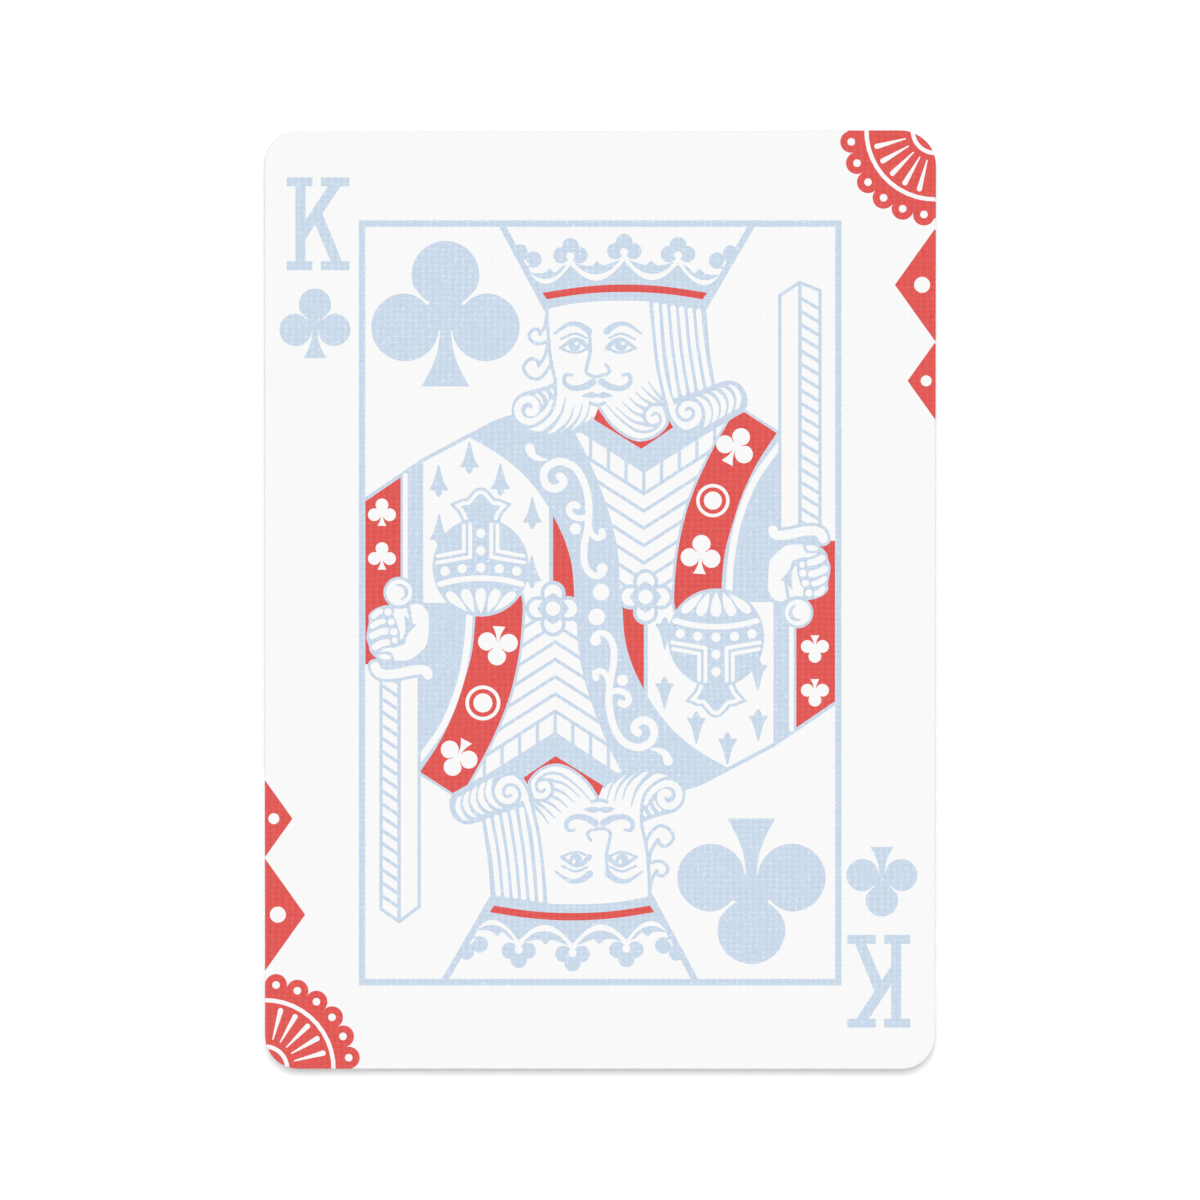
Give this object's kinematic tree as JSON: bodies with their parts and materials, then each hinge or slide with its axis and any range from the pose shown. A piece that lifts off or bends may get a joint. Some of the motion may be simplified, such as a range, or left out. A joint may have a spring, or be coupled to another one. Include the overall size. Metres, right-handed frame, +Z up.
{
  "type": "playing card deck",
  "caption": "Squared pack of round-cornered playing cards lying face up; the cards swivel about one corner into a fan, and the top card slides off to be dealt.",
  "frame": {"origin": "centre of the pack's footprint, on the surface that the lowest card lies on", "axes": "+X across a card, +Y up a card towards the head of its face, +Z up through the pack, the way the faces look"},
  "size_m": [0.0638, 0.089, 0.0162],
  "materials": {
    "card_stock": "coated, embossed with a fine linen grain"
  },
  "bodies": {
    "joker_1": {"joker_1": "card_stock"},
    "joker_2": {"joker_2": "card_stock"},
    "ace_of_diamonds": {"ace_of_diamonds": "card_stock"},
    "two_of_diamonds": {"two_of_diamonds": "card_stock"},
    "three_of_diamonds": {"three_of_diamonds": "card_stock"},
    "four_of_diamonds": {"four_of_diamonds": "card_stock"},
    "five_of_diamonds": {"five_of_diamonds": "card_stock"},
    "six_of_diamonds": {"six_of_diamonds": "card_stock"},
    "seven_of_diamonds": {"seven_of_diamonds": "card_stock"},
    "eight_of_diamonds": {"eight_of_diamonds": "card_stock"},
    "nine_of_diamonds": {"nine_of_diamonds": "card_stock"},
    "ten_of_diamonds": {"ten_of_diamonds": "card_stock"},
    "jack_of_diamonds": {"jack_of_diamonds": "card_stock"},
    "queen_of_diamonds": {"queen_of_diamonds": "card_stock"},
    "king_of_diamonds": {"king_of_diamonds": "card_stock"},
    "ace_of_spades": {"ace_of_spades": "card_stock"},
    "two_of_spades": {"two_of_spades": "card_stock"},
    "three_of_spades": {"three_of_spades": "card_stock"},
    "four_of_spades": {"four_of_spades": "card_stock"},
    "five_of_spades": {"five_of_spades": "card_stock"},
    "six_of_spades": {"six_of_spades": "card_stock"},
    "seven_of_spades": {"seven_of_spades": "card_stock"},
    "eight_of_spades": {"eight_of_spades": "card_stock"},
    "nine_of_spades": {"nine_of_spades": "card_stock"},
    "ten_of_spades": {"ten_of_spades": "card_stock"},
    "jack_of_spades": {"jack_of_spades": "card_stock"},
    "queen_of_spades": {"queen_of_spades": "card_stock"},
    "king_of_spades": {"king_of_spades": "card_stock"},
    "ace_of_hearts": {"ace_of_hearts": "card_stock"},
    "two_of_hearts": {"two_of_hearts": "card_stock"},
    "three_of_hearts": {"three_of_hearts": "card_stock"},
    "four_of_hearts": {"four_of_hearts": "card_stock"},
    "five_of_hearts": {"five_of_hearts": "card_stock"},
    "six_of_hearts": {"six_of_hearts": "card_stock"},
    "seven_of_hearts": {"seven_of_hearts": "card_stock"},
    "eight_of_hearts": {"eight_of_hearts": "card_stock"},
    "nine_of_hearts": {"nine_of_hearts": "card_stock"},
    "ten_of_hearts": {"ten_of_hearts": "card_stock"},
    "jack_of_hearts": {"jack_of_hearts": "card_stock"},
    "queen_of_hearts": {"queen_of_hearts": "card_stock"},
    "king_of_hearts": {"king_of_hearts": "card_stock"},
    "ace_of_clubs": {"ace_of_clubs": "card_stock"},
    "two_of_clubs": {"two_of_clubs": "card_stock"},
    "three_of_clubs": {"three_of_clubs": "card_stock"},
    "four_of_clubs": {"four_of_clubs": "card_stock"},
    "five_of_clubs": {"five_of_clubs": "card_stock"},
    "six_of_clubs": {"six_of_clubs": "card_stock"},
    "seven_of_clubs": {"seven_of_clubs": "card_stock"},
    "eight_of_clubs": {"eight_of_clubs": "card_stock"},
    "nine_of_clubs": {"nine_of_clubs": "card_stock"},
    "ten_of_clubs": {"ten_of_clubs": "card_stock"},
    "jack_of_clubs": {"jack_of_clubs": "card_stock"},
    "queen_of_clubs": {"queen_of_clubs": "card_stock"},
    "king_of_clubs": {"king_of_clubs": "card_stock"}
  },
  "joints": [
    {"name": "deal_king_of_clubs", "type": "slide", "parent": "queen_of_clubs", "child": "king_of_clubs", "axis": [1, 0, 0], "range_m": [0, 0.07]},
    {"name": "fan_joker_2", "type": "hinge", "parent": "joker_1", "child": "joker_2", "pos_m": [-0.02857, -0.04127, 0.00044], "axis": [0, 0, -1], "range_deg": [0, 3.2]},
    {"name": "fan_ace_of_diamonds", "type": "hinge", "parent": "joker_1", "child": "ace_of_diamonds", "pos_m": [-0.02857, -0.04127, 0.00075], "axis": [0, 0, -1], "range_deg": [0, 6.4]},
    {"name": "fan_two_of_diamonds", "type": "hinge", "parent": "joker_1", "child": "two_of_diamonds", "pos_m": [-0.02857, -0.04127, 0.00104], "axis": [0, 0, -1], "range_deg": [0, 9.6]},
    {"name": "fan_three_of_diamonds", "type": "hinge", "parent": "joker_1", "child": "three_of_diamonds", "pos_m": [-0.02857, -0.04127, 0.00135], "axis": [0, 0, -1], "range_deg": [0, 12.8]},
    {"name": "fan_four_of_diamonds", "type": "hinge", "parent": "joker_1", "child": "four_of_diamonds", "pos_m": [-0.02857, -0.04127, 0.00164], "axis": [0, 0, -1], "range_deg": [0, 16]},
    {"name": "fan_five_of_diamonds", "type": "hinge", "parent": "joker_1", "child": "five_of_diamonds", "pos_m": [-0.02857, -0.04127, 0.00194], "axis": [0, 0, -1], "range_deg": [0, 19.2]},
    {"name": "fan_six_of_diamonds", "type": "hinge", "parent": "joker_1", "child": "six_of_diamonds", "pos_m": [-0.02857, -0.04127, 0.00225], "axis": [0, 0, -1], "range_deg": [0, 22.4]},
    {"name": "fan_seven_of_diamonds", "type": "hinge", "parent": "joker_1", "child": "seven_of_diamonds", "pos_m": [-0.02857, -0.04127, 0.00254], "axis": [0, 0, -1], "range_deg": [0, 25.6]},
    {"name": "fan_eight_of_diamonds", "type": "hinge", "parent": "joker_1", "child": "eight_of_diamonds", "pos_m": [-0.02857, -0.04127, 0.00284], "axis": [0, 0, -1], "range_deg": [0, 28.8]},
    {"name": "fan_nine_of_diamonds", "type": "hinge", "parent": "joker_1", "child": "nine_of_diamonds", "pos_m": [-0.02857, -0.04127, 0.00314], "axis": [0, 0, -1], "range_deg": [0, 32]},
    {"name": "fan_ten_of_diamonds", "type": "hinge", "parent": "joker_1", "child": "ten_of_diamonds", "pos_m": [-0.02857, -0.04127, 0.00345], "axis": [0, 0, -1], "range_deg": [0, 35.2]},
    {"name": "fan_jack_of_diamonds", "type": "hinge", "parent": "joker_1", "child": "jack_of_diamonds", "pos_m": [-0.02857, -0.04127, 0.00375], "axis": [0, 0, -1], "range_deg": [0, 38.4]},
    {"name": "fan_queen_of_diamonds", "type": "hinge", "parent": "joker_1", "child": "queen_of_diamonds", "pos_m": [-0.02857, -0.04127, 0.00404], "axis": [0, 0, -1], "range_deg": [0, 41.6]},
    {"name": "fan_king_of_diamonds", "type": "hinge", "parent": "joker_1", "child": "king_of_diamonds", "pos_m": [-0.02857, -0.04127, 0.00434], "axis": [0, 0, -1], "range_deg": [0, 44.8]},
    {"name": "fan_ace_of_spades", "type": "hinge", "parent": "joker_1", "child": "ace_of_spades", "pos_m": [-0.02857, -0.04127, 0.00464], "axis": [0, 0, -1], "range_deg": [0, 48]},
    {"name": "fan_two_of_spades", "type": "hinge", "parent": "joker_1", "child": "two_of_spades", "pos_m": [-0.02857, -0.04127, 0.00494], "axis": [0, 0, -1], "range_deg": [0, 51.2]},
    {"name": "fan_three_of_spades", "type": "hinge", "parent": "joker_1", "child": "three_of_spades", "pos_m": [-0.02857, -0.04127, 0.00524], "axis": [0, 0, -1], "range_deg": [0, 54.4]},
    {"name": "fan_four_of_spades", "type": "hinge", "parent": "joker_1", "child": "four_of_spades", "pos_m": [-0.02857, -0.04127, 0.00554], "axis": [0, 0, -1], "range_deg": [0, 57.6]},
    {"name": "fan_five_of_spades", "type": "hinge", "parent": "joker_1", "child": "five_of_spades", "pos_m": [-0.02857, -0.04127, 0.00585], "axis": [0, 0, -1], "range_deg": [0, 60.8]},
    {"name": "fan_six_of_spades", "type": "hinge", "parent": "joker_1", "child": "six_of_spades", "pos_m": [-0.02857, -0.04127, 0.00615], "axis": [0, 0, -1], "range_deg": [0, 64]},
    {"name": "fan_seven_of_spades", "type": "hinge", "parent": "joker_1", "child": "seven_of_spades", "pos_m": [-0.02857, -0.04127, 0.00645], "axis": [0, 0, -1], "range_deg": [0, 67.2]},
    {"name": "fan_eight_of_spades", "type": "hinge", "parent": "joker_1", "child": "eight_of_spades", "pos_m": [-0.02857, -0.04127, 0.00675], "axis": [0, 0, -1], "range_deg": [0, 70.4]},
    {"name": "fan_nine_of_spades", "type": "hinge", "parent": "joker_1", "child": "nine_of_spades", "pos_m": [-0.02857, -0.04127, 0.00705], "axis": [0, 0, -1], "range_deg": [0, 73.6]},
    {"name": "fan_ten_of_spades", "type": "hinge", "parent": "joker_1", "child": "ten_of_spades", "pos_m": [-0.02857, -0.04127, 0.00734], "axis": [0, 0, -1], "range_deg": [0, 76.8]},
    {"name": "fan_jack_of_spades", "type": "hinge", "parent": "joker_1", "child": "jack_of_spades", "pos_m": [-0.02857, -0.04127, 0.00764], "axis": [0, 0, -1], "range_deg": [0, 80]},
    {"name": "fan_queen_of_spades", "type": "hinge", "parent": "joker_1", "child": "queen_of_spades", "pos_m": [-0.02857, -0.04127, 0.00795], "axis": [0, 0, -1], "range_deg": [0, 83.2]},
    {"name": "fan_king_of_spades", "type": "hinge", "parent": "joker_1", "child": "king_of_spades", "pos_m": [-0.02857, -0.04127, 0.00825], "axis": [0, 0, -1], "range_deg": [0, 86.4]},
    {"name": "fan_ace_of_hearts", "type": "hinge", "parent": "joker_1", "child": "ace_of_hearts", "pos_m": [-0.02857, -0.04127, 0.00855], "axis": [0, 0, -1], "range_deg": [0, 89.6]},
    {"name": "fan_two_of_hearts", "type": "hinge", "parent": "joker_1", "child": "two_of_hearts", "pos_m": [-0.02857, -0.04127, 0.00885], "axis": [0, 0, -1], "range_deg": [0, 92.8]},
    {"name": "fan_three_of_hearts", "type": "hinge", "parent": "joker_1", "child": "three_of_hearts", "pos_m": [-0.02857, -0.04127, 0.00915], "axis": [0, 0, -1], "range_deg": [0, 96]},
    {"name": "fan_four_of_hearts", "type": "hinge", "parent": "joker_1", "child": "four_of_hearts", "pos_m": [-0.02857, -0.04127, 0.00945], "axis": [0, 0, -1], "range_deg": [0, 99.2]},
    {"name": "fan_five_of_hearts", "type": "hinge", "parent": "joker_1", "child": "five_of_hearts", "pos_m": [-0.02857, -0.04127, 0.00975], "axis": [0, 0, -1], "range_deg": [0, 102.4]},
    {"name": "fan_six_of_hearts", "type": "hinge", "parent": "joker_1", "child": "six_of_hearts", "pos_m": [-0.02857, -0.04127, 0.01005], "axis": [0, 0, -1], "range_deg": [0, 105.6]},
    {"name": "fan_seven_of_hearts", "type": "hinge", "parent": "joker_1", "child": "seven_of_hearts", "pos_m": [-0.02857, -0.04127, 0.01035], "axis": [0, 0, -1], "range_deg": [0, 108.8]},
    {"name": "fan_eight_of_hearts", "type": "hinge", "parent": "joker_1", "child": "eight_of_hearts", "pos_m": [-0.02857, -0.04127, 0.01064], "axis": [0, 0, -1], "range_deg": [0, 112]},
    {"name": "fan_nine_of_hearts", "type": "hinge", "parent": "joker_1", "child": "nine_of_hearts", "pos_m": [-0.02857, -0.04127, 0.01094], "axis": [0, 0, -1], "range_deg": [0, 115.2]},
    {"name": "fan_ten_of_hearts", "type": "hinge", "parent": "joker_1", "child": "ten_of_hearts", "pos_m": [-0.02857, -0.04127, 0.01124], "axis": [0, 0, -1], "range_deg": [0, 118.4]},
    {"name": "fan_jack_of_hearts", "type": "hinge", "parent": "joker_1", "child": "jack_of_hearts", "pos_m": [-0.02857, -0.04127, 0.01154], "axis": [0, 0, -1], "range_deg": [0, 121.6]},
    {"name": "fan_queen_of_hearts", "type": "hinge", "parent": "joker_1", "child": "queen_of_hearts", "pos_m": [-0.02857, -0.04127, 0.01184], "axis": [0, 0, -1], "range_deg": [0, 124.8]},
    {"name": "fan_king_of_hearts", "type": "hinge", "parent": "joker_1", "child": "king_of_hearts", "pos_m": [-0.02857, -0.04127, 0.01214], "axis": [0, 0, -1], "range_deg": [0, 128]},
    {"name": "fan_ace_of_clubs", "type": "hinge", "parent": "joker_1", "child": "ace_of_clubs", "pos_m": [-0.02857, -0.04127, 0.01244], "axis": [0, 0, -1], "range_deg": [0, 131.2]},
    {"name": "fan_two_of_clubs", "type": "hinge", "parent": "joker_1", "child": "two_of_clubs", "pos_m": [-0.02857, -0.04127, 0.01274], "axis": [0, 0, -1], "range_deg": [0, 134.4]},
    {"name": "fan_three_of_clubs", "type": "hinge", "parent": "joker_1", "child": "three_of_clubs", "pos_m": [-0.02857, -0.04127, 0.01304], "axis": [0, 0, -1], "range_deg": [0, 137.6]},
    {"name": "fan_four_of_clubs", "type": "hinge", "parent": "joker_1", "child": "four_of_clubs", "pos_m": [-0.02857, -0.04127, 0.01334], "axis": [0, 0, -1], "range_deg": [0, 140.8]},
    {"name": "fan_five_of_clubs", "type": "hinge", "parent": "joker_1", "child": "five_of_clubs", "pos_m": [-0.02857, -0.04127, 0.01364], "axis": [0, 0, -1], "range_deg": [0, 144]},
    {"name": "fan_six_of_clubs", "type": "hinge", "parent": "joker_1", "child": "six_of_clubs", "pos_m": [-0.02857, -0.04127, 0.01395], "axis": [0, 0, -1], "range_deg": [0, 147.2]},
    {"name": "fan_seven_of_clubs", "type": "hinge", "parent": "joker_1", "child": "seven_of_clubs", "pos_m": [-0.02857, -0.04127, 0.01425], "axis": [0, 0, -1], "range_deg": [0, 150.4]},
    {"name": "fan_eight_of_clubs", "type": "hinge", "parent": "joker_1", "child": "eight_of_clubs", "pos_m": [-0.02857, -0.04127, 0.01455], "axis": [0, 0, -1], "range_deg": [0, 153.6]},
    {"name": "fan_nine_of_clubs", "type": "hinge", "parent": "joker_1", "child": "nine_of_clubs", "pos_m": [-0.02857, -0.04127, 0.01485], "axis": [0, 0, -1], "range_deg": [0, 156.8]},
    {"name": "fan_ten_of_clubs", "type": "hinge", "parent": "joker_1", "child": "ten_of_clubs", "pos_m": [-0.02857, -0.04127, 0.01515], "axis": [0, 0, -1], "range_deg": [0, 160]},
    {"name": "fan_jack_of_clubs", "type": "hinge", "parent": "joker_1", "child": "jack_of_clubs", "pos_m": [-0.02857, -0.04127, 0.01545], "axis": [0, 0, -1], "range_deg": [0, 163.2]},
    {"name": "fan_queen_of_clubs", "type": "hinge", "parent": "joker_1", "child": "queen_of_clubs", "pos_m": [-0.02857, -0.04127, 0.01574], "axis": [0, 0, -1], "range_deg": [0, 166.4]}
  ]
}
